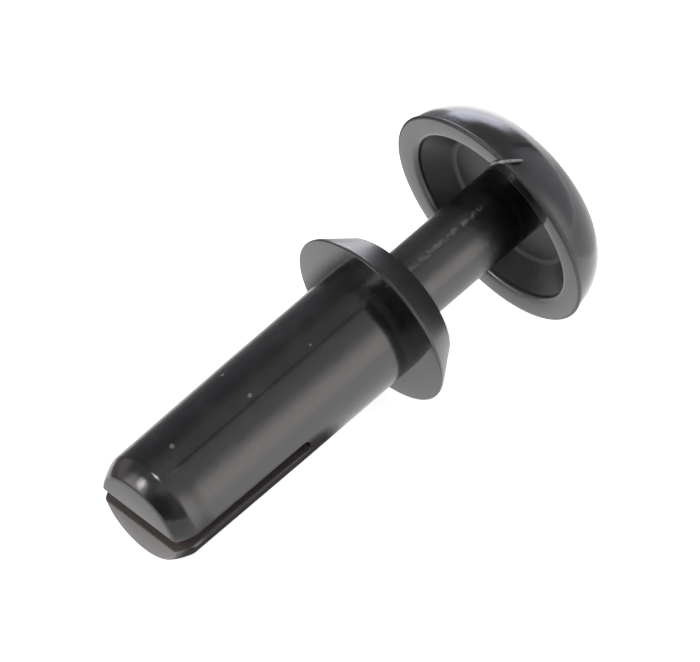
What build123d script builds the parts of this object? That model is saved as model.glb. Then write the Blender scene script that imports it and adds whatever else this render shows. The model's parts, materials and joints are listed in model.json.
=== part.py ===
from build123d import *
from math import asin, atan2, cos, degrees, hypot, pi, sin, sqrt
import os

# Plastic push rivet in two mouldings, in millimetres, +Z up.
#
#   sleeve     a round shank split into two legs, under a conical flange
#   drive_pin  a plain pin under a hollow domed head; it is pushed into the
#              sleeve until the head's recess has swallowed the flange
#
# Every height along the rivet is counted from the flange's flat face, where
# the panel sits: minus towards the tip, plus towards the head.  The pin stands
# drawn out by its full travel.  The rivet lies on the plane Z = 0, on the rim
# of its head and the edge of its tip, with the head towards +X, and the origin
# is the middle of its footprint.

# --- Sleeve -----------------------------------------------------------------
shank_diameter = 4.0
shank_length = 10.4
sleeve_wall = 0.7
leg_taper = 0.04  # radius that the legs lose from their root to the tip
leg_slit_length = 5.7
leg_slit_width = 0.56
leg_slit_offset = 0.07  # the slit lies this far below the axis
slit_corner_radius = 0.08
tip_chamfer_length = 0.7
tip_chamfer_depth = 0.34
tip_edge_radius = 0.12
tip_face_radius = 0.18
tip_wall = 1.3  # solid plastic past the end of the bore
flange_diameter = 6.4
flange_back_diameter = 4.8
flange_thickness = 1.2
flange_edge_height = 0.1  # upright edge, before the flange narrows to its back
flange_edge_radius = 0.06
flange_back_radius = 0.1
bore_lead_in = 0.12

# --- Drive pin --------------------------------------------------------------
pin_travel = 5.13
nose_length = 1.2
nose_diameter = 1.5
nose_edge_radius = 0.15
rim_width = 0.75  # flat rim of the head, around its recess
rim_lip_proud = 0.09  # the parting edge stands this far out from the dome
rim_lip_height = 0.1
rim_edge_radius = 0.08
mouth_edge_radius = 0.2
recess_land = 0.3  # straight wall inside the mouth, before the recess narrows
recess_corner_radius = 0.12
shoulder_radius = 1.9
crown_radius = 7.6

# --- Clearances between the two ---------------------------------------------
bore_clearance = 0.05  # pin in bore, on the radius
nose_clearance = 0.15  # driven nose to the end of the bore
mouth_clearance = 0.05  # recess mouth around the flange, on the radius
floor_clearance = 0.06  # recess floor around the flange's back, on the radius
driven_gap = 0.04  # recess floor to the flange's back
driven_rim_height = 0.25  # the driven rim stands this far off the panel

# --- Sizes that follow, as radii and heights --------------------------------
shank = shank_diameter / 2
leg = shank - leg_taper
tip_face = leg - tip_chamfer_depth
tip = -shank_length
chamfer_top = tip + tip_chamfer_length
leg_root = tip + leg_slit_length
flange = flange_diameter / 2
flange_back = flange_back_diameter / 2

bore = shank - sleeve_wall
bore_end = tip + tip_wall
pin = bore - bore_clearance
nose = nose_diameter / 2
driven_nose_tip = bore_end + nose_clearance
driven_nose_top = driven_nose_tip + nose_length

nose_tip = driven_nose_tip + pin_travel
nose_top = driven_nose_top + pin_travel
rim_face = driven_rim_height + pin_travel
recess_floor = rim_face + flange_thickness + driven_gap - driven_rim_height
mouth = flange + mouth_clearance
recess_end = flange_back + floor_clearance
head = mouth + rim_width
rim = head + rim_lip_proud

# The dome is a wide crown, tangent to a tight shoulder that ends upright on
# the rim's lip.  Both arcs meet on the line through their centres.
dome_base = rim_face + rim_lip_height + rim_lip_proud
shoulder_centre = head - shoulder_radius
crown_centre = dome_base - sqrt((crown_radius - shoulder_radius) ** 2 - shoulder_centre**2)
blend_angle = degrees(atan2(dome_base - crown_centre, shoulder_centre))


# --- How the rivet lies -----------------------------------------------------
def rounding_centre(corner, tilt_a, tilt_b, radius):
    """Centre, as (radius, height), of the arc that rounds a corner of a turned outline.

    A tilt is how far a side's outward normal leans from square to the axis
    towards the tip, in radians.
    """
    reach = radius / (1 + cos(tilt_a - tilt_b))
    centre_radius = corner[0] - reach * (cos(tilt_a) + cos(tilt_b))
    centre_height = corner[1] + reach * (sin(tilt_a) + sin(tilt_b))
    return centre_radius, centre_height


SQUARE_TO_AXIS = 0
FACING_TIP = pi / 2
leg_tilt = atan2(leg_taper, leg_root - chamfer_top)
chamfer_tilt = atan2(tip_chamfer_depth, tip_chamfer_length)

rim_arc = rounding_centre((rim, rim_face), SQUARE_TO_AXIS, FACING_TIP, rim_edge_radius)
edge_arc = rounding_centre((leg, chamfer_top), leg_tilt, chamfer_tilt, tip_edge_radius)
face_arc = rounding_centre((tip_face, tip), chamfer_tilt, FACING_TIP, tip_face_radius)

# The table is the common tangent of the roundings of the rim and the tip.
rise = rim_arc[0] - edge_arc[0]
run = rim_arc[1] - edge_arc[1]
lean = atan2(rise, run) + asin((rim_edge_radius - tip_edge_radius) / hypot(rise, run))
axis_height = edge_arc[0] * cos(lean) - edge_arc[1] * sin(lean) + tip_edge_radius
tip_reach = face_arc[1] * cos(lean) - face_arc[0] * sin(lean) - tip_face_radius
head_reach = crown_centre * cos(lean) + crown_radius

flange_centre = Vector(-(tip_reach + head_reach) / 2, 0, axis_height)
to_head = Vector(cos(lean), 0, sin(lean))
outwards = Vector(-sin(lean), 0, cos(lean))
rivet_axis = Axis(flange_centre, to_head)

# Upright plane through the axis: X is the radius and Y the height.
half_section = Plane(origin=flange_centre, x_dir=outwards, z_dir=(0, 1, 0))


def round_corner(outline, radius, height, rounding):
    """Round the corner of a turned outline that lies at a radius and a height."""
    fillet(outline.vertices().sort_by_distance((radius, height))[0], rounding)


# --- Sleeve -----------------------------------------------------------------
with BuildPart() as sleeve:
    with BuildSketch(half_section) as sleeve_outline:
        with BuildLine():
            Polyline(
                (0, bore_end),
                (0, tip),
                (tip_face, tip),
                (leg, chamfer_top),
                (shank, leg_root),
                (shank, 0),
                (flange, 0),
                (flange, flange_edge_height),
                (flange_back, flange_thickness),
                (bore + bore_lead_in, flange_thickness),
                (bore, flange_thickness - bore_lead_in),
                (bore, driven_nose_top),
                (nose + bore_clearance, bore_end),
                close=True,
            )
        make_face()
        round_corner(sleeve_outline, tip_face, tip, tip_face_radius)
        round_corner(sleeve_outline, leg, chamfer_top, tip_edge_radius)
        round_corner(sleeve_outline, flange, 0, flange_edge_radius)
        round_corner(sleeve_outline, flange, flange_edge_height, flange_edge_radius)
        round_corner(sleeve_outline, flange_back, flange_thickness, flange_back_radius)
    revolve(axis=rivet_axis)

    # The slit lies level, so the thicker leg is above the thinner one.
    with BuildSketch(half_section) as slit:
        with Locations((-leg_slit_offset, leg_root)):
            Rectangle(leg_slit_width, leg_slit_length, align=(Align.CENTER, Align.MAX))
        fillet(slit.vertices().group_by(Axis.Y)[-1], slit_corner_radius)
    extrude(amount=shank_diameter, both=True, mode=Mode.SUBTRACT)

sleeve.part.label = "sleeve"

# --- Drive pin --------------------------------------------------------------
with BuildPart() as drive_pin:
    with BuildSketch(half_section) as pin_outline:
        with BuildLine():
            Polyline(
                (0, crown_centre + crown_radius),
                (0, nose_tip),
                (nose, nose_tip),
                (pin, nose_top),
                (pin, recess_floor),
                (recess_end, recess_floor),
                (mouth, rim_face + recess_land),
                (mouth, rim_face),
                (rim, rim_face),
                (rim, rim_face + rim_lip_height),
                (head, dome_base),
            )
            CenterArc((shoulder_centre, dome_base), shoulder_radius, 0, blend_angle)
            CenterArc((0, crown_centre), crown_radius, blend_angle, 90 - blend_angle)
        make_face()
        round_corner(pin_outline, nose, nose_tip, nose_edge_radius)
        round_corner(pin_outline, recess_end, recess_floor, recess_corner_radius)
        round_corner(pin_outline, mouth, rim_face, mouth_edge_radius)
        round_corner(pin_outline, rim, rim_face, rim_edge_radius)
    revolve(axis=rivet_axis)

drive_pin.part.label = "drive_pin"

# --- Files ------------------------------------------------------------------
os.makedirs("parts", exist_ok=True)
export_step(sleeve.part, "parts/sleeve.step")
export_step(drive_pin.part, "parts/drive_pin.step")
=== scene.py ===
import json
from math import asin, atan2, cos, pi, radians, sin, sqrt, tan

import bmesh
import bpy
from mathutils import Matrix, Vector


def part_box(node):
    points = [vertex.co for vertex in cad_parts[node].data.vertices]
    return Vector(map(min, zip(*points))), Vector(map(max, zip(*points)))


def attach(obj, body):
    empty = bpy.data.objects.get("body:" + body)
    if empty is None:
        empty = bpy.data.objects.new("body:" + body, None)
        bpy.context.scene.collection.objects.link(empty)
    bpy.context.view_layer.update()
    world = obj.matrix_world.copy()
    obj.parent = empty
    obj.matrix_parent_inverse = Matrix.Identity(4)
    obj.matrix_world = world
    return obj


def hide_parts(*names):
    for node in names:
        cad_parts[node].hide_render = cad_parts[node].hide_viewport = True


# A black plastic push rivet, drawn out and lying on a white table.
#
# Both mouldings are turned about the rivet's own axis in millimetres: X is the
# radius, Z the height above the flange's flat face, plus towards the head.
# PLACING then lays them in the frame, in metres.

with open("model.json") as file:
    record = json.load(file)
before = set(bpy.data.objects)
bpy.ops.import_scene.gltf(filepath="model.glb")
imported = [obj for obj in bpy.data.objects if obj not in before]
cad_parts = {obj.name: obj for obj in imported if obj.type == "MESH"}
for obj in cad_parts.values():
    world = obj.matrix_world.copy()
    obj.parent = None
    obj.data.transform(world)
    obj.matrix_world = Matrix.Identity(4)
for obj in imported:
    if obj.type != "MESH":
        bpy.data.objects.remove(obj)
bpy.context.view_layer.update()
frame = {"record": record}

MM = 0.001
TURN_STEPS = 128
ROUNDING_STEPS = 6
SHOULDER_STEPS = 12
CROWN_STEPS = 24
SHARP_ANGLE = radians(32)
MERGE_DISTANCE = 0.0001

# --- The rivet's axis and sizes, as the frame gives them ---------------------
record = frame["record"]
mounts = {mount["name"]: mount for mount in record["mounts"]}
to_tip = Vector(mounts["flange_face"]["axis"])
outwards = Vector((0, 1, 0)).cross(to_tip)
face_point = Vector(mounts["flange_face"]["pos_m"])
flange_centre = Vector((face_point.x, 0, face_point.z))
PLACING = (
    Matrix.Translation(flange_centre)
    @ Matrix((outwards, Vector((0, -1, 0)), -to_tip)).transposed().to_4x4()
    @ Matrix.Scale(MM, 4)
)
SHANK = mounts["shank"]["dims"]["r_mm"]
LEG_ROOT = -mounts["shank"]["dims"]["length_mm"]
TRAVEL = record["behaviour"]["joints"][0]["range_m"][1] / MM
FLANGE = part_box("sleeve")[1].y / MM
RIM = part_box("drive_pin")[1].y / MM

# --- Sleeve, as radii and heights --------------------------------------------
TIP = -10.4
TIP_FACE = 1.62
TIP_FACE_ROUNDING = 0.16
LEG = 1.96
CHAMFER_TOP = -9.7
CHAMFER_ROUNDING = 0.4
CHAMFER_SWELL = (1.822, -10.066)
CHAMFER_SWELL_ROUNDING = 1.6
FLANGE_THICKNESS = 1.2
FLANGE_FACE_ROUNDING = 0.03
FLANGE_EDGE = 0.1
FLANGE_EDGE_ROUNDING = 0.2
FLANGE_BACK = 2.4
FLANGE_BACK_ROUNDING = 0.1
BORE = 1.3
BORE_LEAD_IN = 0.12
BORE_END = -9.1
BORE_END_RADIUS = 0.8

# The slit's flat sides, as levels above the axis, and how its edges are eased.
SLIT_CEILING = 0.17
SLIT_FLOOR = -0.34
SLIT_END_ROUNDING = 0.2
UPPER_LEG_EDGE = 0.03
UPPER_LEG_FACE_EDGE = 0.12
LOWER_LEG_EDGE = 0.2
LOWER_LEG_FACE_EDGE = 0.04
PAST_TIP = TIP - 0.001  # the cut ends just clear of the tip's face
CUTTER_REACH = 1.0  # how far the cutting tools go on beyond the tip

# --- Drive pin, as radii and heights -----------------------------------------
PIN = 1.25
NOSE = 0.75
NOSE_TIP = -3.82
NOSE_TIP_ROUNDING = 0.15
NOSE_TOP = -2.62
RIM_FACE = 5.38
RIM_ROUNDING = 0.08
RIM_LIP_HEIGHT = 0.1
RIM_LIP_ROUNDING = 0.045
HEAD = 4.0
MOUTH = 3.25
MOUTH_ROUNDING = 0.2
RECESS_LAND = 0.24
RECESS_FLOOR = 6.37
RECESS_END = 2.46
RECESS_ROUNDING = 0.12
FACE_MARGIN = 0.01  # allowance in telling the recess's faces from their neighbours
SHOULDER_RADIUS = 1.9
CROWN_RADIUS = 7.6


# --- Turning tools -----------------------------------------------------------
def outline(corners):
    """An open outline through (radius, height, rounding) corners."""
    mesh = bmesh.new()
    string(mesh, [((x, 0, z), rounding) for x, z, rounding in corners])
    return mesh


def string(mesh, corners, closed=False):
    """Join (place, rounding) corners by straight edges, and round them."""
    points = [mesh.verts.new(place) for place, rounding in corners]
    ends = points[1:] + points[:1] if closed else points[1:]
    for start, end in zip(points, ends):
        mesh.edges.new((start, end))
    for point, (place, rounding) in zip(points, corners):
        if rounding:
            round_corner(mesh, point, rounding)


def round_corner(mesh, corner, rounding):
    """Round one corner of an outline with an arc."""
    before, after = (
        edge.other_vert(corner).co - corner.co for edge in corner.link_edges
    )
    bmesh.ops.bevel(
        mesh,
        geom=[corner],
        offset=rounding / tan(before.angle(after) / 2),
        offset_type="OFFSET",
        segments=ROUNDING_STEPS,
        profile=0.5,
        affect="VERTICES",
        material=-1,
    )


def turn(mesh):
    """Turn an outline once round the axis into a closed skin."""
    bmesh.ops.spin(
        mesh,
        geom=mesh.verts[:] + mesh.edges[:],
        cent=(0, 0, 0),
        axis=(0, 0, 1),
        angle=2 * pi,
        steps=TURN_STEPS,
        use_merge=True,
    )
    bmesh.ops.remove_doubles(mesh, verts=mesh.verts[:], dist=MERGE_DISTANCE)
    bmesh.ops.recalc_face_normals(mesh, faces=mesh.faces[:])


def piece(mesh, name, *materials):
    """Lay a finished mesh in the frame as an object, smooth but for its sharp edges."""
    bmesh.ops.transform(mesh, matrix=PLACING, verts=mesh.verts[:])
    data = bpy.data.meshes.new(name)
    mesh.to_mesh(data)
    mesh.free()
    data.shade_smooth()
    data.set_sharp_from_angle(angle=SHARP_ANGLE)
    for material in materials:
        data.materials.append(material)
    made = bpy.data.objects.new(name, data)
    bpy.context.scene.collection.objects.link(made)
    weighted = made.modifiers.new("weighted_normals", "WEIGHTED_NORMAL")
    weighted.keep_sharp = True
    return made


def cut(mesh, cutter):
    """Cut one closed mesh out of another."""
    objects = []
    for name, solid in (("blank", mesh), ("cutter", cutter)):
        data = bpy.data.meshes.new(name)
        solid.to_mesh(data)
        solid.free()
        objects.append(bpy.data.objects.new(name, data))
        bpy.context.scene.collection.objects.link(objects[-1])
    blank, tool = objects
    difference = blank.modifiers.new("difference", "BOOLEAN")
    difference.operation = "DIFFERENCE"
    difference.solver = "EXACT"
    difference.object = tool
    finished = blank.evaluated_get(bpy.context.evaluated_depsgraph_get())
    result = bmesh.new()
    result.from_mesh(finished.to_mesh())
    finished.to_mesh_clear()
    for used in objects:
        bpy.data.meshes.remove(used.data)
    return result


# --- Node tools --------------------------------------------------------------
def node_group(name, inputs, outputs):
    """A new node group, as (group, node with its inputs, node for its outputs)."""
    group = bpy.data.node_groups.new(name, "ShaderNodeTree")
    for side, sockets in (("INPUT", inputs), ("OUTPUT", outputs)):
        for label, kind in sockets.items():
            kind = f"NodeSocket{kind}"
            group.interface.new_socket(label, in_out=side, socket_type=kind)
    return group, group.nodes.new("NodeGroupInput"), group.nodes.new("NodeGroupOutput")


def feed(tree, socket, value):
    """Give a socket a link from another socket, or a constant."""
    if isinstance(value, bpy.types.NodeSocket):
        tree.links.new(value, socket)
    else:
        socket.default_value = value


def use_group(tree, group, label, **values):
    """Add a group to a tree; its inputs are given by name, with _ for each space."""
    node = tree.nodes.new("ShaderNodeGroup")
    node.node_tree = group
    node.label = label
    for name, value in values.items():
        feed(tree, node.inputs[name.replace("_", " ")], value)
    return node.outputs


def math(tree, operation, *values):
    """A maths node over sockets and plain numbers."""
    node = tree.nodes.new("ShaderNodeMath")
    node.operation = operation
    for socket, value in zip(node.inputs, values):
        feed(tree, socket, value)
    return node.outputs[0]


def rise(tree, value, low, high):
    """A mask that climbs softly from 0 at low to 1 at high; low may be the larger."""
    fade = tree.nodes.new("ShaderNodeMapRange")
    fade.interpolation_type = "SMOOTHSTEP"
    for socket, given in zip(fade.inputs, (value, low, high)):
        feed(tree, socket, given)
    return fade.outputs[0]


def overlap(tree, mask, *others):
    """The mask of where several masks hold at once."""
    for other in others:
        mask = math(tree, "MULTIPLY", mask, other)
    return mask


def band(tree, value, one_side, other_side):
    """The mask of a band of values, from the (0, 1) limits of its two soft sides."""
    return overlap(tree, rise(tree, value, *one_side), rise(tree, value, *other_side))


def shift(tree, mask, first, second):
    """Go from one value to another by a mask."""
    node = tree.nodes.new("ShaderNodeMix")
    for socket, value in zip(node.inputs[:1] + node.inputs[2:4], (mask, first, second)):
        feed(tree, socket, value)
    return node.outputs[0]


def blend(tree, mask, first, second):
    """Go from one colour to another by a mask."""
    node = tree.nodes.new("ShaderNodeMix")
    node.data_type = "RGBA"
    feed(tree, node.inputs[0], mask)
    for socket, colour in zip(node.inputs[6:8], (first, second)):
        linked = isinstance(colour, bpy.types.NodeSocket)
        feed(tree, socket, colour if linked else (*colour, 1))
    return node.outputs[2]


def noise(tree, place, scale, detail):
    """Soft noise round 0.5; its scale is in turns per millimetre."""
    node = tree.nodes.new("ShaderNodeTexNoise")
    tree.links.new(place, node.inputs["Vector"])
    node.inputs["Scale"].default_value = scale
    node.inputs["Detail"].default_value = detail
    return node.outputs[0]


def swing(tree, value, size, base):
    """Add noise to a base, so that it swings by half a size to either side."""
    return math(tree, "MULTIPLY_ADD", math(tree, "SUBTRACT", value, 0.5), size, base)


def coordinates(tree, place):
    """The three coordinates of a place."""
    split = tree.nodes.new("ShaderNodeSeparateXYZ")
    tree.links.new(place, split.inputs[0])
    return split.outputs


# --- Shared node groups ------------------------------------------------------
# Noises: turns per millimetre and detail.
TONE_NOISE = (1.1, 3.0)
GRAIN_NOISE = (5.5, 2.0)
WAVE_NOISE = (1.7, 1.0)
LINE_NOISE = (2.6, 3.0)
SPECK_NOISE = (9.0, 2.0)
STREAK_NOISE = (5.5, 4.0)
SPECK_UNEVENNESS = 0.08
SPECK_CORE = 0.4  # share of a speck's size where it covers fully


def rivet_place():
    """Where a point is on the rivet: millimetres, and degrees from the top to -Y."""
    group, _, result = node_group(
        "rivet_place",
        {},
        {"Place": "Vector", "Radius": "Float", "Around": "Float", "Height": "Float"},
    )
    place = group.nodes.new("ShaderNodeTexCoord")
    from_frame = group.nodes.new("ShaderNodeMapping")
    location, rotation, scale = PLACING.inverted().decompose()
    from_frame.inputs["Location"].default_value = location
    from_frame.inputs["Rotation"].default_value = rotation.to_euler()
    from_frame.inputs["Scale"].default_value = scale
    group.links.new(place.outputs["Object"], from_frame.inputs["Vector"])
    x, y, z = coordinates(group, from_frame.outputs[0])
    squares = math(group, "MULTIPLY_ADD", x, x, math(group, "MULTIPLY", y, y))
    for name, value in (
        ("Place", from_frame.outputs[0]),
        ("Radius", math(group, "SQRT", squares)),
        ("Around", math(group, "DEGREES", math(group, "ARCTAN2", y, x))),
        ("Height", z),
    ):
        group.links.new(value, result.inputs[name])
    return group


def moulded_skin():
    """The unevenness of moulded nylon: slow tone, fine grain, and a height round 0."""
    group, given, result = node_group(
        "moulded_skin",
        {"Place": "Vector", "Waviness": "Float", "Grain Depth": "Float"},
        {"Tone": "Float", "Grain": "Float", "Height": "Float"},
    )
    place = given.outputs["Place"]
    tone = noise(group, place, *TONE_NOISE)
    grain = noise(group, place, *GRAIN_NOISE)
    waves = noise(group, place, *WAVE_NOISE)
    waves = swing(group, waves, given.outputs["Waviness"], 0.0)
    height = swing(group, grain, given.outputs["Grain Depth"], waves)
    for name, value in (("Tone", tone), ("Grain", grain), ("Height", height)):
        group.links.new(value, result.inputs[name])
    return group


def parting_line():
    """The line that the mould's halves leave along a side, as a mask and as a step."""
    group, given, result = node_group(
        "parting_line",
        {
            "Place": "Vector",
            "Around": "Float",
            "Line Around": "Float",
            "Half Width": "Float",
            "Raggedness": "Float",
        },
        {"Mask": "Float", "Step": "Float"},
    )
    half = given.outputs["Half Width"]
    raggedness = given.outputs["Raggedness"]
    wander = noise(group, given.outputs["Place"], *LINE_NOISE)
    line = swing(group, wander, raggedness, given.outputs["Line Around"])
    offset = math(group, "SUBTRACT", given.outputs["Around"], line)
    mask = rise(group, math(group, "ABSOLUTE", offset), half, 0.0)
    step = rise(group, offset, math(group, "MULTIPLY", half, -1.0), half)
    group.links.new(mask, result.inputs["Mask"])
    group.links.new(step, result.inputs["Step"])
    return group


def speck():
    """A mask for one crumb of dust, with an uneven outline."""
    group, given, result = node_group(
        "speck",
        {"Place": "Vector", "Centre": "Vector", "Size": "Float"},
        {"Mask": "Float"},
    )
    place = given.outputs["Place"]
    gap = group.nodes.new("ShaderNodeVectorMath")
    gap.operation = "DISTANCE"
    group.links.new(place, gap.inputs[0])
    group.links.new(given.outputs["Centre"], gap.inputs[1])
    uneven = noise(group, place, *SPECK_NOISE)
    reach = swing(group, uneven, SPECK_UNEVENNESS, gap.outputs["Value"])
    size = given.outputs["Size"]
    core = math(group, "MULTIPLY", size, SPECK_CORE)
    group.links.new(rise(group, reach, size, core), result.inputs["Mask"])
    return group


PLACE_GROUP = rivet_place()
SKIN_GROUP = moulded_skin()
LINE_GROUP = parting_line()
SPECK_GROUP = speck()


# --- Nylon -------------------------------------------------------------------
BLACK = (0.004, 0.004, 0.0042)
FADED = (0.009, 0.0088, 0.0085)
RUBBED = (0.014, 0.0138, 0.0136)
# A painted warm reflection on the lower leg's end face.
PAINTED_WARM_REFLECTION = (0.016, 0.011, 0.008)
CONE_BLACK = (0.017, 0.0168, 0.0175)
# A painted highlight round the head's rounded mouth.
PAINTED_MOUTH_HIGHLIGHT = (0.03, 0.03, 0.031)
# Dust in the slit, and the painted warm light that falls into it.
SLIT_DUST_AND_WARM_LIGHT = (0.058, 0.047, 0.042)
# Scuffs on the pin's parting line, and a painted highlight along the recess floor's
# corner.
SCUFF_AND_HIGHLIGHT = (0.068, 0.067, 0.065)
DUST = (0.1, 0.097, 0.094)
WHITENED = (0.24, 0.235, 0.23)

NYLON_IOR = 1.6
UNPOLISHED_IOR = 1.3
WAVINESS = 0.005
GRAIN_DEPTH = 0.004
TONE_SWING = 0.1  # how much the roughness follows the skin's slow tone
GRAIN_SWING = 0.08  # and its fine grain
FLAT_RELIEF = 0.25  # share of the skin's height that a polished face keeps
LINE_STEP_HEIGHT = 0.04
STREAK_HEIGHT = 0.01

# Roughness of each finish.
FACE_ROUGHNESS = 0.1
DOME_ROUGHNESS = 0.17
CHAMFER_ROUGHNESS = 0.18
SIDE_ROUGHNESS = 0.24
CONE_ROUGHNESS = 0.34
RECESS_ROUGHNESS = 0.34
STREAK_ROUGHNESS = 0.4
FLASH_ROUGHNESS = 0.4
LIP_ROUGHNESS = 0.5
DUSTY_ROUGHNESS = 0.6

# Values of the noise at which a tone starts to show and shows fully.
BODY_FADING = (0.45, 0.75)
RECESS_FADING = (0.4, 0.7)
FLASH_WHITENING = (0.35, 0.65)
STREAK_LUMPS = (0.28, 0.7)

# Soft sides of the sleeve's finishes, as the heights, radii or levels where a mask is
# 0 and where it is 1.
LINE_FROM_CHAMFER = (CHAMFER_TOP + 0.2, CHAMFER_TOP + 0.9)
LINE_TO_FLANGE = (-0.3, -0.8)
LIT_DUSTY_SLIT_FLOOR = (SLIT_FLOOR - 0.03, SLIT_FLOOR - 0.005)
LIT_DUSTY_SLIT_CEILING = (SLIT_CEILING + 0.01, SLIT_CEILING - 0.01)
LIT_DUSTY_SLIT_END = (LEG_ROOT, LEG_ROOT - 0.03)
LEG_EDGE_BOTTOM = (SLIT_FLOOR - 0.34, SLIT_FLOOR - 0.22)
LEG_EDGE_TOP = (SLIT_FLOOR + 0.02, SLIT_FLOOR)
LEG_EDGE_FROM_TIP = (CHAMFER_TOP + 0.1, CHAMFER_TOP + 0.5)
LEG_EDGE_TO_ROOT = (LEG_ROOT + 0.3, LEG_ROOT - 0.2)
CONE_HEIGHT = (0.1, 0.2)
CONE_RADIUS = (1.5, 1.7)
FACE_UNDERSIDE = (-0.03, -0.01)
FACE_UPPERSIDE = (0.02, 0.0)
TIP_END = (TIP + 0.02, TIP + 0.005)
TIP_CHAMFER = (CHAMFER_TOP + 0.1, CHAMFER_TOP)
LOWER_LEG = (SLIT_FLOOR, SLIT_FLOOR - 0.05)

# The same on the drive pin.
PIN_RADIUS = (1.5, 1.4)
PIN_TO_RECESS = (5.2, 4.7)
RUBBED_HEIGHT = (4.6, 3.0)
RIM_HEIGHT = (RIM_FACE + 0.03, RIM_FACE + 0.01)
RIM_RADIUS = (MOUTH, MOUTH + 0.1)
DOME_HEIGHT = (RIM_FACE + 0.15, RIM_FACE + 0.25)
LIP_RADIUS = (HEAD - 0.02, HEAD + 0.02)
MOUTH_EDGE_OUTSIDE = (MOUTH + 0.26, MOUTH + 0.1)
MOUTH_EDGE_INSIDE = (2.9, 3.1)
MOUTH_EDGE_HEIGHT = (RIM_FACE + 0.45, RIM_FACE + 0.4)
RECESS_CORNER_RADIUS = (RECESS_END - 0.1, RECESS_END - 0.05)
RECESS_CORNER_HEIGHT = (RECESS_FLOOR - 0.1, RECESS_FLOOR - 0.05)

# Parting lines: degrees from the top, half width and raggedness in degrees.
SHANK_LINE = {"Line_Around": 17.7, "Half_Width": 2.4, "Raggedness": 0.8}
PIN_LINE = {"Line_Around": 11.8, "Half_Width": 6.5, "Raggedness": 6.0}

# Crumbs of dust on the sleeve: radius, degrees from the top, height and size.
SLEEVE_SPECKS = [
    (LEG, -1.4, -8.56, 0.12),
    (SHANK, 11.3, -5.53, 0.1),
    (SHANK, 12.5, -2.85, 0.06),
    (SHANK, -29.4, -5.42, 0.1),
]


def surface_point(radius, around, height):
    """A point of the rivet's surface in millimetres, from its degrees from the top."""
    return (radius * cos(radians(around)), radius * sin(radians(around)), height)


def start_nylon(name, ior=NYLON_IOR):
    """A black nylon with its shared groups, as (material, shader, place, skin)."""
    material = bpy.data.materials.new(name)
    material.use_nodes = True
    tree = material.node_tree
    shader = tree.nodes["Principled BSDF"]
    shader.inputs["IOR"].default_value = ior
    place = use_group(tree, PLACE_GROUP, "where on the rivet")
    skin = use_group(
        tree,
        SKIN_GROUP,
        "moulded skin",
        Place=place["Place"],
        Waviness=WAVINESS,
        Grain_Depth=GRAIN_DEPTH,
    )
    return material, shader, place, skin


def finish_nylon(tree, shader, colour, roughness, height):
    """Link the finished colour, roughness and height in millimetres to the shader."""
    tree.links.new(colour, shader.inputs["Base Color"])
    tree.links.new(roughness, shader.inputs["Roughness"])
    bump = tree.nodes.new("ShaderNodeBump")
    bump.inputs["Distance"].default_value = MM
    tree.links.new(height, bump.inputs["Height"])
    tree.links.new(bump.outputs[0], shader.inputs["Normal"])


def skin_roughness(tree, skin, polish):
    """Roughness that follows the skin's tone and grain round a given value."""
    polish = swing(tree, skin["Tone"], TONE_SWING, polish)
    return swing(tree, skin["Grain"], GRAIN_SWING, polish)


def add_line(tree, place, label, line):
    """Run a parting line along the rivet; it gives a mask and a step."""
    return use_group(
        tree, LINE_GROUP, label, Place=place["Place"], Around=place["Around"], **line
    )


def add_specks(tree, place, colour, specks):
    """Lay crumbs of dust over a colour, from (radius, around, height, size)."""
    for *spot, size in specks:
        centre = surface_point(*spot)
        crumb = use_group(
            tree, SPECK_GROUP, "speck", Place=place["Place"], Centre=centre, Size=size
        )
        colour = blend(tree, crumb["Mask"], colour, DUST)
    return colour


def sleeve_nylon():
    """The sleeve's nylon: polished faces, duller cone and parting line; dust and
    painted warm light in the slit, and a painted warm reflection on the lower leg's
    end.
    """
    material, shader, place, skin = start_nylon("sleeve_black_nylon")
    tree = material.node_tree
    radius, height = place["Radius"], place["Height"]
    level = coordinates(tree, place["Place"])[0]

    # Where the slit holds dust and painted warm light.
    in_slit = band(tree, level, LIT_DUSTY_SLIT_FLOOR, LIT_DUSTY_SLIT_CEILING)
    in_slit = overlap(tree, in_slit, rise(tree, height, *LIT_DUSTY_SLIT_END))
    along_leg = band(tree, height, LEG_EDGE_FROM_TIP, LEG_EDGE_TO_ROOT)
    leg_edge = band(tree, level, LEG_EDGE_BOTTOM, LEG_EDGE_TOP)
    dusty = math(tree, "MAXIMUM", in_slit, overlap(tree, leg_edge, along_leg))
    cone = rise(tree, height, *CONE_HEIGHT)
    cone = overlap(tree, cone, rise(tree, radius, *CONE_RADIUS))
    face = band(tree, height, FACE_UNDERSIDE, FACE_UPPERSIDE)
    end = rise(tree, height, *TIP_END)
    flat = math(tree, "MAXIMUM", face, end)

    chamfer = rise(tree, height, *TIP_CHAMFER)
    polish = shift(tree, chamfer, SIDE_ROUGHNESS, CHAMFER_ROUGHNESS)
    polish = shift(tree, cone, polish, CONE_ROUGHNESS)
    polish = shift(tree, flat, polish, FACE_ROUGHNESS)
    polish = shift(tree, dusty, polish, DUSTY_ROUGHNESS)

    colour = blend(tree, rise(tree, skin["Tone"], *BODY_FADING), BLACK, FADED)
    colour = blend(tree, cone, colour, CONE_BLACK)
    # The lower leg's end face gets a painted warm reflection.
    lower_end = overlap(tree, end, rise(tree, level, *LOWER_LEG))
    colour = blend(tree, lower_end, colour, PAINTED_WARM_REFLECTION)
    # Dust and painted warm light inside the slit.
    colour = blend(tree, in_slit, colour, SLIT_DUST_AND_WARM_LIGHT)
    colour = add_specks(tree, place, colour, SLEEVE_SPECKS)

    line = add_line(tree, place, "shank parting line", SHANK_LINE)
    on_shank = band(tree, height, LINE_TO_FLANGE, LINE_FROM_CHAMFER)
    step = overlap(tree, line["Step"], on_shank)
    relief = math(tree, "MULTIPLY", skin["Height"], shift(tree, flat, 1.0, FLAT_RELIEF))
    relief = math(tree, "MULTIPLY_ADD", step, LINE_STEP_HEIGHT, relief)
    finish_nylon(tree, shader, colour, skin_roughness(tree, skin, polish), relief)
    return material


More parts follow.
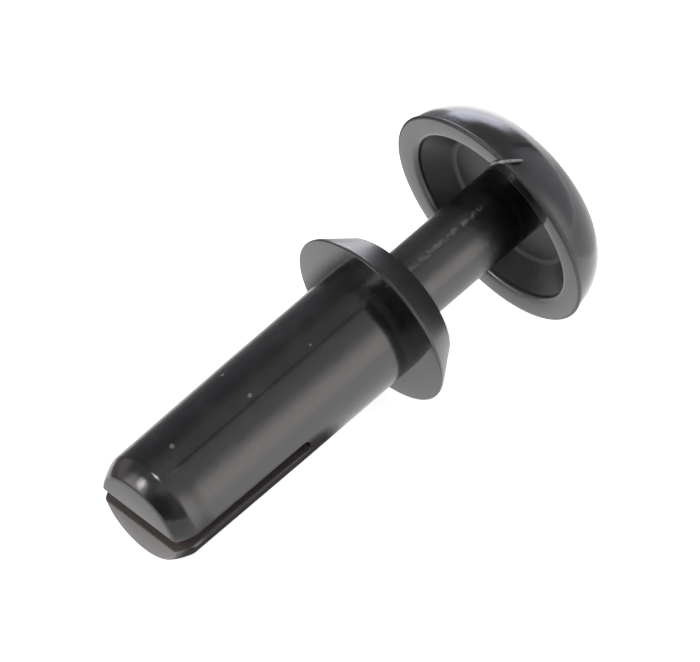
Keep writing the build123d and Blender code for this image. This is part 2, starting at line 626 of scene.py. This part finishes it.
def pin_nylon():
    """The drive pin's nylon: polished rim, a painted highlight round the mouth, and a
    scuffed parting line.
    """
    material, shader, place, skin = start_nylon("pin_black_nylon")
    tree = material.node_tree
    radius, height = place["Radius"], place["Height"]

    on_pin = rise(tree, radius, *PIN_RADIUS)
    on_pin = overlap(tree, on_pin, rise(tree, height, *PIN_TO_RECESS))
    line = add_line(tree, place, "pin parting line", PIN_LINE)
    lumps = rise(tree, noise(tree, place["Place"], *STREAK_NOISE), *STREAK_LUMPS)
    streak = overlap(tree, line["Mask"], on_pin, lumps)
    rim = rise(tree, height, *RIM_HEIGHT)
    rim = overlap(tree, rim, rise(tree, radius, *RIM_RADIUS))

    dome = rise(tree, height, *DOME_HEIGHT)
    polish = shift(tree, dome, SIDE_ROUGHNESS, DOME_ROUGHNESS)
    polish = shift(tree, rim, polish, FACE_ROUGHNESS)
    polish = shift(tree, rise(tree, radius, *LIP_RADIUS), polish, LIP_ROUGHNESS)
    roughness = skin_roughness(tree, skin, polish)
    roughness = shift(tree, streak, roughness, STREAK_ROUGHNESS)

    colour = blend(tree, rise(tree, skin["Tone"], *BODY_FADING), BLACK, FADED)
    rubbed = overlap(tree, on_pin, rise(tree, height, *RUBBED_HEIGHT))
    colour = blend(tree, rubbed, colour, RUBBED)
    # A painted highlight on the mouth's rounded edge and its land.
    mouth_edge = band(tree, radius, MOUTH_EDGE_OUTSIDE, MOUTH_EDGE_INSIDE)
    mouth_edge = overlap(tree, mouth_edge, rise(tree, height, *MOUTH_EDGE_HEIGHT))
    colour = blend(tree, mouth_edge, colour, PAINTED_MOUTH_HIGHLIGHT)
    colour = blend(tree, streak, colour, SCUFF_AND_HIGHLIGHT)

    relief = math(tree, "MULTIPLY", skin["Height"], shift(tree, rim, 1.0, FLAT_RELIEF))
    relief = math(tree, "MULTIPLY_ADD", streak, STREAK_HEIGHT, relief)
    finish_nylon(tree, shader, colour, roughness, relief)
    return material


def recess_nylon():
    """The head's hollow: the nylon without a polish, with a painted highlight along its
    floor's corner.
    """
    name = "unpolished_black_nylon"
    material, shader, place, skin = start_nylon(name, UNPOLISHED_IOR)
    tree = material.node_tree
    corner = overlap(
        tree,
        rise(tree, place["Radius"], *RECESS_CORNER_RADIUS),
        rise(tree, place["Height"], *RECESS_CORNER_HEIGHT),
    )
    colour = blend(tree, rise(tree, skin["Tone"], *RECESS_FADING), BLACK, RUBBED)
    # A painted highlight along the rounded corner of the recess floor.
    colour = blend(tree, corner, colour, SCUFF_AND_HIGHLIGHT)
    roughness = skin_roughness(tree, skin, RECESS_ROUGHNESS)
    finish_nylon(tree, shader, colour, roughness, skin["Height"])
    return material


# --- Sleeve ------------------------------------------------------------------
def slit():
    """A tool of the slit's shape from the side: a round end, edges eased at the tip."""
    tool = bmesh.new()
    sides = [
        (SLIT_FLOOR, LEG_ROOT, SLIT_END_ROUNDING),
        (SLIT_CEILING, LEG_ROOT, SLIT_END_ROUNDING),
        (SLIT_CEILING, PAST_TIP, UPPER_LEG_FACE_EDGE),
        (SHANK, PAST_TIP, 0),
        (SHANK, PAST_TIP - CUTTER_REACH, 0),
        (-SHANK, PAST_TIP - CUTTER_REACH, 0),
        (-SHANK, PAST_TIP, 0),
        (SLIT_FLOOR, PAST_TIP, LOWER_LEG_FACE_EDGE),
    ]
    corners = [((x, -2 * SHANK, z), rounding) for x, z, rounding in sides]
    string(tool, corners, closed=True)
    bmesh.ops.holes_fill(tool, edges=tool.edges[:], sides=0)
    far_side = bmesh.ops.extrude_face_region(tool, geom=tool.faces[:])["geom"]
    moved = [item for item in far_side if isinstance(item, bmesh.types.BMVert)]
    bmesh.ops.translate(tool, vec=(0, 4 * SHANK, 0), verts=moved)
    bmesh.ops.recalc_face_normals(tool, faces=tool.faces[:])
    return tool


def slit_mouths():
    """A tool for the slit's mouths, whose lower edges are eased less at the root."""
    tool = bmesh.new()
    for height, leg, floor_rounding in (
        (TIP - CUTTER_REACH, LEG, LOWER_LEG_EDGE),
        (LEG_ROOT - SLIT_END_ROUNDING, SHANK, UPPER_LEG_EDGE),
    ):
        half = []
        for side, flat, rounding in (
            (1, SLIT_CEILING, UPPER_LEG_EDGE),
            (-1, -SLIT_FLOOR, floor_rounding),
        ):
            around = asin((flat + rounding) / (leg - rounding))
            for x, radius in ((flat, rounding), (SHANK / 2, 0)):
                y = (leg - x * sin(around)) / cos(around)
                half.append((side * x, y, radius))
            half.append((side * SHANK / 2, 2 * SHANK, 0))
        mouth = half[:3] + half[:2:-1]
        ring = mouth + [(x, -y, radius) for x, y, radius in reversed(mouth)]
        string(tool, [((x, y, height), radius) for x, y, radius in ring], closed=True)
    bmesh.ops.bridge_loops(tool, edges=tool.edges[:])
    bmesh.ops.holes_fill(tool, edges=tool.edges[:], sides=0)
    bmesh.ops.recalc_face_normals(tool, faces=tool.faces[:])
    return tool


def make_sleeve(material):
    """The split sleeve: shank, conical flange and blind bore, and a level slit."""
    skin = outline(
        [
            (0, BORE_END, 0),
            (BORE_END_RADIUS, BORE_END, 0),
            (BORE, NOSE_TOP - TRAVEL, 0),
            (BORE, FLANGE_THICKNESS - BORE_LEAD_IN, 0),
            (BORE + BORE_LEAD_IN, FLANGE_THICKNESS, 0),
            (FLANGE_BACK, FLANGE_THICKNESS, FLANGE_BACK_ROUNDING),
            (FLANGE, FLANGE_EDGE, FLANGE_EDGE_ROUNDING),
            (FLANGE, 0, FLANGE_FACE_ROUNDING),
            (SHANK, 0, 0),
            (SHANK, LEG_ROOT, 0),
            (LEG, CHAMFER_TOP, CHAMFER_ROUNDING),
            (*CHAMFER_SWELL, CHAMFER_SWELL_ROUNDING),
            (TIP_FACE, TIP, TIP_FACE_ROUNDING),
            (0, TIP, 0),
        ]
    )
    turn(skin)
    split = cut(cut(skin, slit_mouths()), slit())
    sleeve = piece(split, "split_sleeve", material)
    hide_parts("sleeve")
    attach(sleeve, "sleeve")


# --- Drive pin ---------------------------------------------------------------
def make_drive_pin(material, recess_material):
    """The pin and its hollow domed head, whose recess has a finish of its own."""
    dome_base = RIM_FACE + RIM_LIP_HEIGHT + RIM - HEAD
    shoulder_centre = HEAD - SHOULDER_RADIUS
    centres_apart = CROWN_RADIUS - SHOULDER_RADIUS
    crown_centre = dome_base - sqrt(centres_apart**2 - shoulder_centre**2)
    blend_angle = atan2(dome_base - crown_centre, shoulder_centre)
    skin = outline(
        [
            (0, NOSE_TIP, 0),
            (NOSE, NOSE_TIP, NOSE_TIP_ROUNDING),
            (PIN, NOSE_TOP, 0),
            (PIN, RECESS_FLOOR, 0),
            (RECESS_END, RECESS_FLOOR, RECESS_ROUNDING),
            (MOUTH, RIM_FACE + RECESS_LAND, 0),
            (MOUTH, RIM_FACE, MOUTH_ROUNDING),
            (RIM, RIM_FACE, RIM_ROUNDING),
            (RIM, RIM_FACE + RIM_LIP_HEIGHT, RIM_LIP_ROUNDING),
            (HEAD, dome_base, 0),
        ]
    )
    skin.verts.ensure_lookup_table()
    end = max(skin.verts, key=lambda vert: (len(vert.link_edges) == 1, vert.co.x))
    for centre_x, centre_z, angle, steps in (
        (shoulder_centre, dome_base, blend_angle, SHOULDER_STEPS),
        (0, crown_centre, pi / 2 - blend_angle, CROWN_STEPS),
    ):
        arc = bmesh.ops.spin(
            skin,
            geom=[end],
            cent=(centre_x, 0, centre_z),
            axis=(0, -1, 0),
            angle=angle,
            steps=steps,
        )
        last = arc["geom_last"]
        end = next(item for item in last if isinstance(item, bmesh.types.BMVert))
    turn(skin)
    for face in skin.faces:
        centre = face.calc_center_median()
        inside = PIN + FACE_MARGIN < centre.xy.length < MOUTH + FACE_MARGIN
        if inside and RIM_FACE + RECESS_LAND < centre.z < RECESS_FLOOR + FACE_MARGIN:
            face.material_index = 1
    drive_pin = piece(skin, "domed_drive_pin", material, recess_material)
    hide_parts("drive_pin")
    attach(drive_pin, "pin")


# --- Flash -------------------------------------------------------------------
# A sliver across the head's rim: radius, degrees from the top, height, half thickness.
FLASH_PATH = [
    (3.32, 9.4, 5.36, 0.02),
    (3.6, 11.0, 5.31, 0.045),
    (3.95, 14.0, 5.31, 0.05),
    (4.16, 17.0, 5.42, 0.052),
    (4.17, 19.0, 5.65, 0.052),
    (4.08, 21.5, 5.92, 0.03),
]
FLASH_MERGE_DISTANCE = 0.0005


def flash_nylon():
    """Nylon squeezed thin, paler than the body and uneven."""
    material, shader, _, skin = start_nylon("thin_black_nylon")
    tree = material.node_tree
    colour = blend(tree, rise(tree, skin["Grain"], *FLASH_WHITENING), DUST, WHITENED)
    roughness = skin_roughness(tree, skin, FLASH_ROUGHNESS)
    finish_nylon(tree, shader, colour, roughness, skin["Height"])
    return material


def make_flash(material):
    """The thread of plastic that the mould's parting squeezed out across the rim."""
    data = bpy.data.curves.new("flash", "CURVE")
    data.dimensions = "3D"
    data.bevel_depth = 1  # so that each point's radius is its half thickness
    data.bevel_resolution = 3
    data.use_fill_caps = True
    thread = data.splines.new("NURBS")
    thread.points.add(len(FLASH_PATH) - 1)
    for point, (radius, around, height, half) in zip(thread.points, FLASH_PATH):
        point.co = (*surface_point(radius, around, height), 1)
        point.radius = half
    thread.order_u = 4
    thread.use_endpoint_u = True
    thread.resolution_u = 8
    route = bpy.data.objects.new("flash", data)
    tube = bpy.data.meshes.new_from_object(route)
    mesh = bmesh.new()
    mesh.from_mesh(tube)
    bpy.data.meshes.remove(tube)
    bpy.data.objects.remove(route)
    bmesh.ops.remove_doubles(mesh, verts=mesh.verts[:], dist=FLASH_MERGE_DISTANCE)
    bmesh.ops.recalc_face_normals(mesh, faces=mesh.faces[:])
    flash = piece(mesh, "rim_flash", material)
    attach(flash, "pin")


make_sleeve(sleeve_nylon())
make_drive_pin(pin_nylon(), recess_nylon())
make_flash(flash_nylon())


# --- Table -------------------------------------------------------------------
TABLE_WHITE = (0.9, 0.9, 0.9)
# The table's colour in its painted shadows, as gloss sees them.
TABLE_SHADE = (0.25, 0.24, 0.24)
TABLE_ROUGHNESS = 0.35
TABLE_LIFT = 0.75  # light that the table gives off to the camera

# What gloss sees of the table is painted light and shade: its gleam rises from far to
# near, and behind the rivet a slanting line parts a painted dark stretch from a painted
# glare.  Places in millimetres.
GLEAM = (0.5, 0.93)
GLEAM_FAR_TO_NEAR = (4.0, -4.0)
BEHIND = (8.5, 10.5)
SLANT = -0.7
DARK_SIDE = (5.5, 4.5)
GLARE_SIDE = (5.5, 6.5)
GLARE = 0.8

# Painted shadows in it, where gloss sees the table dimmer: left, right, near and far
# edges, and how dim.
SHADE_SOFTNESS = 1.0
TABLE_SHADES = [
    (-9.2, -0.3, -5.0, 3.5, 1.0),
    (-2.8, 1.6, 0.8, 5.1, 1.0),
    (13.0, 90.0, -90.0, 5.0, 0.4),
    (-40.0, -5.5, -60.0, -3.5, 0.5),
    (-16.0, -8.3, -2.0, 6.0, 0.25),
]


def make_table():
    """A plain white table top, brighter to the camera and to gloss than it is lit;
    gloss also sees painted glare and painted shadows on it.
    """
    material = bpy.data.materials.new("table")
    material.use_nodes = True
    tree = material.node_tree
    shader = tree.nodes["Principled BSDF"]
    shader.inputs["Roughness"].default_value = TABLE_ROUGHNESS
    shader.inputs["Emission Color"].default_value = (1, 1, 1, 1)
    place = tree.nodes.new("ShaderNodeTexCoord").outputs["Object"]
    x, y = (math(tree, "DIVIDE", along, MM) for along in coordinates(tree, place)[:2])
    slanted = math(tree, "MULTIPLY_ADD", y, SLANT, x)
    behind = rise(tree, y, *BEHIND)

    # Painted shade and a painted glare, seen only by gloss.
    dim = overlap(tree, behind, rise(tree, slanted, *DARK_SIDE))
    soft = SHADE_SOFTNESS
    for left, right, near, far, strength in TABLE_SHADES:
        across = band(tree, x, (left, left + soft), (right, right - soft))
        away = band(tree, y, (near, near + soft), (far, far - soft))
        shade = math(tree, "MULTIPLY", overlap(tree, across, away), strength)
        dim = math(tree, "MAXIMUM", dim, shade)
    glare = overlap(tree, behind, rise(tree, slanted, *GLARE_SIDE))
    gleam = shift(tree, rise(tree, y, *GLEAM_FAR_TO_NEAR), *GLEAM)
    gleam = math(tree, "MULTIPLY_ADD", glare, GLARE, gleam)
    gleam = math(tree, "MULTIPLY", gleam, math(tree, "SUBTRACT", 1.0, dim))

    rays = tree.nodes.new("ShaderNodeLightPath").outputs
    mirrored = math(tree, "MAXIMUM", rays["Is Glossy Ray"], rays["Is Transmission Ray"])
    shaded = math(tree, "MULTIPLY", mirrored, dim)
    colour = blend(tree, shaded, TABLE_WHITE, TABLE_SHADE)
    tree.links.new(colour, shader.inputs["Base Color"])
    lift = math(tree, "MULTIPLY", rays["Is Camera Ray"], TABLE_LIFT)
    lift = math(tree, "MAXIMUM", lift, math(tree, "MULTIPLY", mirrored, gleam))
    tree.links.new(lift, shader.inputs["Emission Strength"])

    top = bmesh.new()
    bmesh.ops.create_grid(top, x_segments=1, y_segments=1, size=1)
    data = bpy.data.meshes.new("table")
    top.to_mesh(data)
    top.free()
    data.materials.append(material)
    table = bpy.data.objects.new("table", data)
    bpy.context.scene.collection.objects.link(table)


make_table()


# --- Light -------------------------------------------------------------------
def soft_panel():
    """A panel of the studio, as a mask over azimuth and elevation in degrees."""
    group, given, result = node_group(
        "soft_panel",
        {
            "Azimuth": "Float",
            "Elevation": "Float",
            "Centre Azimuth": "Float",
            "Centre Elevation": "Float",
            "Half Width": "Float",
            "Half Height": "Float",
            "Softness": "Float",
        },
        {"Mask": "Float"},
    )
    softness = given.outputs["Softness"]

    def offset(angle):
        """How far an angle is from the panel's centre."""
        centre = given.outputs[f"Centre {angle}"]
        return math(group, "SUBTRACT", given.outputs[angle], centre)

    def within(distance, half):
        """1 inside a half width, falling softly to 0 outside it."""
        outer = math(group, "ADD", half, softness)
        inner = math(group, "SUBTRACT", half, softness)
        return rise(group, math(group, "ABSOLUTE", distance), outer, inner)

    around = math(group, "WRAP", offset("Azimuth"), -180, 180)
    mask = overlap(
        group,
        within(around, given.outputs["Half Width"]),
        within(offset("Elevation"), given.outputs["Half Height"]),
    )
    group.links.new(mask, result.inputs["Mask"])
    return group


STUDIO_FILL = (0.44, 0.42, 0.42)

# Name: azimuth, elevation, half width, half height and softness in degrees, radiance.
# A later panel stands in front of an earlier one.
STUDIO_PANELS = {
    "ceiling over the front": (-95, 60, 75, 25, 25, (0.99, 0.98, 0.98)),
    "far wall": (30, 30, 60, 60, 20, (0.49, 0.49, 0.51)),
    "front wall": (-25, 15, 35, 40, 14, (1.09, 1.05, 1.15)),
    "front softbox": (-72, 9, 15, 29, 16, (3.4, 3.24, 3.14)),
    "side light": (104, 2, 16, 20, 8, (0.95, 0.84, 0.85)),
    "window": (44, 2, 17, 20, 6, (4.2, 4.25, 4.9)),
    "window post": (13, 18, 2.5, 26, 2, (0.15, 0.145, 0.16)),
    "dark side": (72, 24, 10, 34, 5, (0.2, 0.19, 0.21)),
    "left wall": (146, 25, 26, 16, 8, (2.7, 2.55, 2.5)),
    "tip lamp": (151, 45, 10, 7, 4, (13.0, 12.6, 12.8)),
    "zenith lamp": (142, 78, 30, 6, 3, (14.0, 13.8, 13.6)),
    "camera stand": (-147, 28, 25, 22, 12, (0.15, 0.12, 0.13)),
}


def make_world():
    """The studio round the rivet: a dim room with soft panels."""
    world = bpy.data.worlds.new("studio")
    bpy.context.scene.world = world
    world.use_nodes = True
    tree = world.node_tree
    towards = tree.nodes.new("ShaderNodeTexCoord").outputs["Generated"]
    x, y, z = coordinates(tree, towards)
    azimuth = math(tree, "DEGREES", math(tree, "ARCTAN2", y, x))
    elevation = math(tree, "DEGREES", math(tree, "ARCSINE", z))
    group = soft_panel()
    radiance = STUDIO_FILL
    for name, panel in STUDIO_PANELS.items():
        around, above, half_width, half_height, softness, colour = panel
        mask = use_group(
            tree,
            group,
            name,
            Azimuth=azimuth,
            Elevation=elevation,
            Centre_Azimuth=around,
            Centre_Elevation=above,
            Half_Width=half_width,
            Half_Height=half_height,
            Softness=softness,
        )
        radiance = blend(tree, mask["Mask"], radiance, colour)
    tree.links.new(radiance, tree.nodes["Background"].inputs["Color"])


make_world()

# --- Camera ------------------------------------------------------------------
AZIMUTH = radians(-44.71)
ELEVATION = radians(46.98)
DISTANCE = 0.3828
FOCAL_LENGTH = 617.1
SENSOR_WIDTH = 36
CLIP_START = 0.01
CLIP_END = 10
# How far the flange's centre lies right of and above the picture's middle.
FLANGE_RIGHT = 0.641 * MM
FLANGE_UP = 0.331 * MM


def make_camera():
    """A long lens, looking down at the rivet from its tip's side."""
    data = bpy.data.cameras.new("camera")
    data.lens = FOCAL_LENGTH
    data.sensor_width = SENSOR_WIDTH
    data.sensor_fit = "HORIZONTAL"
    data.clip_start = CLIP_START
    data.clip_end = CLIP_END
    camera = bpy.data.objects.new("camera", data)
    bpy.context.scene.collection.objects.link(camera)
    back = Vector(
        (sin(AZIMUTH) * cos(ELEVATION), -cos(AZIMUTH) * cos(ELEVATION), sin(ELEVATION))
    )
    turned_back = (-back).to_track_quat("-Z", "Y")
    right = turned_back @ Vector((1, 0, 0))
    up = turned_back @ Vector((0, 1, 0))
    aim = flange_centre - right * FLANGE_RIGHT - up * FLANGE_UP
    camera.location = aim + back * DISTANCE
    camera.rotation_mode = "QUATERNION"
    camera.rotation_quaternion = turned_back
    bpy.context.scene.camera = camera


make_camera()
bpy.context.scene.view_settings.view_transform = "Standard"
